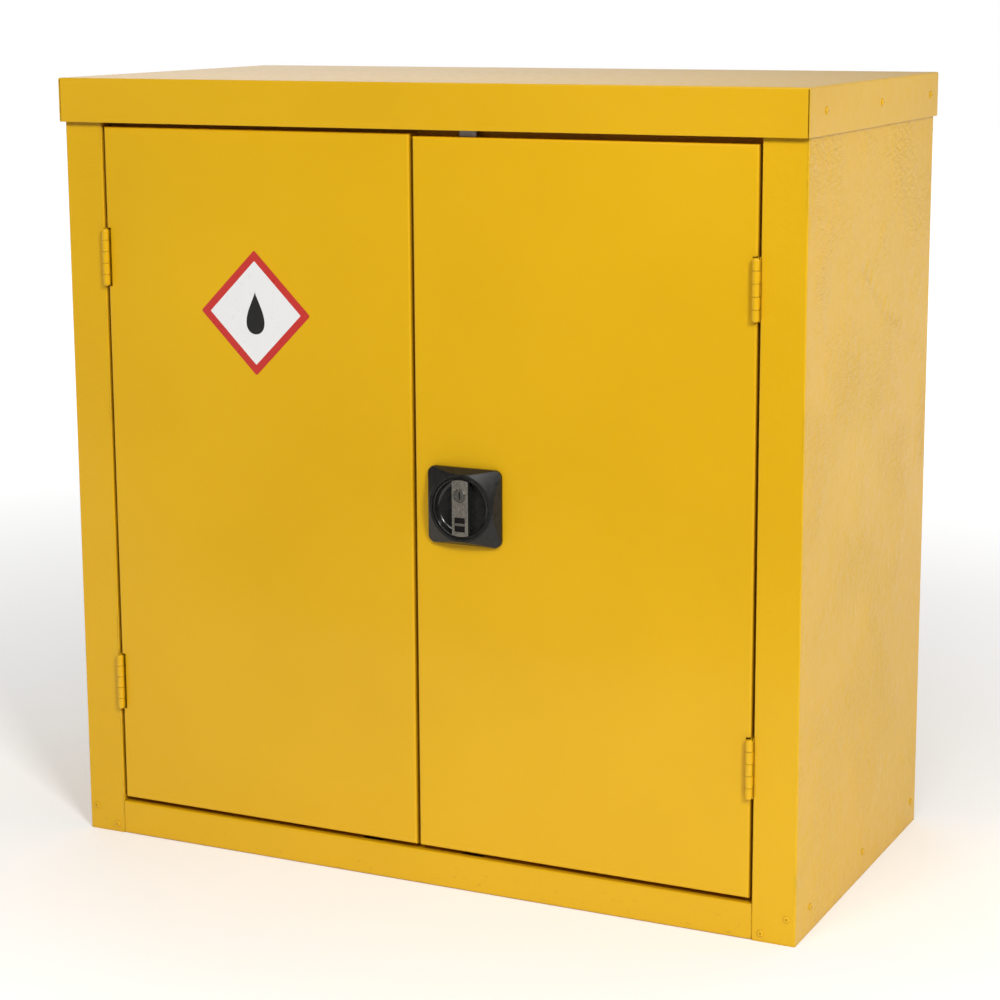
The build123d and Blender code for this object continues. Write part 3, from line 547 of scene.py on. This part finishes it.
floor_shader.inputs["Roughness"].default_value = 0.9
floor_shader.inputs["Specular IOR Level"].default_value = 0.1
# painted glow: the floor emits light though it is no lamp, weakly near the cabinet and strongly further
# off
floor_shader.inputs["Emission Color"].default_value = (1.0, 1.0, 1.0, 1.0)
floor_distance = part_of(floor_tree, "ShaderNodeVectorMath", operation="LENGTH")
floor_tree.links.new(floor_where, floor_distance.inputs[0])
floor_glow = spread(floor_tree, floor_distance.outputs["Value"], 0.20, 0.80, 0.5, 2.8)
floor_tree.links.new(floor_glow, floor_shader.inputs["Emission Strength"])
floor_tone = blend_colours(
    floor_tree, grain(floor_tree, floor_where, 0.9), (0.86, 0.86, 0.86), (0.88, 0.88, 0.88)
)
floor_tree.links.new(floor_tone, floor_shader.inputs["Base Color"])
floor.data.materials.append(floor_finish)

world = bpy.data.worlds.new("studio")
bpy.context.scene.world = world
world.use_nodes = True
sky = world.node_tree
backdrop = sky.nodes["Background"]
direction = sky.nodes.new("ShaderNodeTexCoord").outputs["Generated"]
axes = sky.nodes.new("ShaderNodeSeparateXYZ")
sky.links.new(direction, axes.inputs["Vector"])
behind = spread(sky, axes.outputs["Y"], 0.12, 0.55, -0.30, 0.45)
toward = part_of(sky, "ShaderNodeVectorMath", operation="DOT_PRODUCT")
toward.inputs[1].default_value = glow_toward
sky.links.new(direction, toward.inputs[0])
glow = spread(sky, toward.outputs["Value"], 0.0, 0.75, 0.925, 0.988)
total = part_of(sky, "ShaderNodeMath", operation="ADD")
sky.links.new(behind, total.inputs[0])
sky.links.new(glow, total.inputs[1])
sky.links.new(total.outputs["Value"], backdrop.inputs["Strength"])
backdrop.inputs["Color"].default_value = (1.0, 1.0, 1.0, 1.0)
plain = part_of(sky, "ShaderNodeBackground", Strength=1.0)
plain.inputs["Color"].default_value = (1.0, 1.0, 1.0, 1.0)
seen = sky.nodes.new("ShaderNodeLightPath").outputs["Is Camera Ray"]
either = sky.nodes.new("ShaderNodeMixShader")
sky.links.new(seen, either.inputs["Fac"])
sky.links.new(backdrop.outputs["Background"], either.inputs[1])
sky.links.new(plain.outputs["Background"], either.inputs[2])
sky.links.new(either.outputs["Shader"], sky.nodes["World Output"].inputs["Surface"])


def soft_lamp(name, place, size, power):
    lamp = bpy.data.lights.new(name, "AREA")
    lamp.shape = "RECTANGLE"
    lamp.size, lamp.size_y = size
    lamp.energy = power
    holder = bpy.data.objects.new(name, lamp)
    holder.location = place
    holder.rotation_euler = (Vector(light_target) - Vector(place)).to_track_quat("-Z", "Y").to_euler()
    holder.visible_camera = False
    bpy.context.scene.collection.objects.link(holder)


soft_lamp("key_lamp", (2.9, -2.9, 2.7), (0.8, 0.8), 120.0)
soft_lamp("fill_lamp", (0.3, -2.4, 2.4), (1.6, 1.0), 35.0)

# ---------------------------------------------------------------- camera
# Stands in front of the cabinet and to the right, a little above its top, and looks
# slightly down at it through a long lens.
camera_place = Vector((1.2249, -2.5476, 1.0002))
azimuth = math.radians(25.946)
elevation = math.radians(10.625)
roll = math.radians(-0.341)
forward = Vector(
    (
        -math.sin(azimuth) * math.cos(elevation),
        math.cos(azimuth) * math.cos(elevation),
        -math.sin(elevation),
    )
)
level = Vector((math.cos(azimuth), math.sin(azimuth), 0.0))
upright = level.cross(forward)
right = math.cos(roll) * level + math.sin(roll) * upright
up = right.cross(forward)
camera_data = bpy.data.cameras.new("camera")
camera_data.sensor_width = 36.0
camera_data.lens = 87.84
camera_data.shift_x = 0.0112
camera_data.shift_y = -0.0563
camera = bpy.data.objects.new("camera", camera_data)
turn = Matrix((right, up, -forward)).transposed().to_4x4()
camera.matrix_world = Matrix.Translation(camera_place) @ turn
bpy.context.scene.collection.objects.link(camera)
bpy.context.scene.camera = camera
bpy.context.scene.view_settings.view_transform = "Standard"
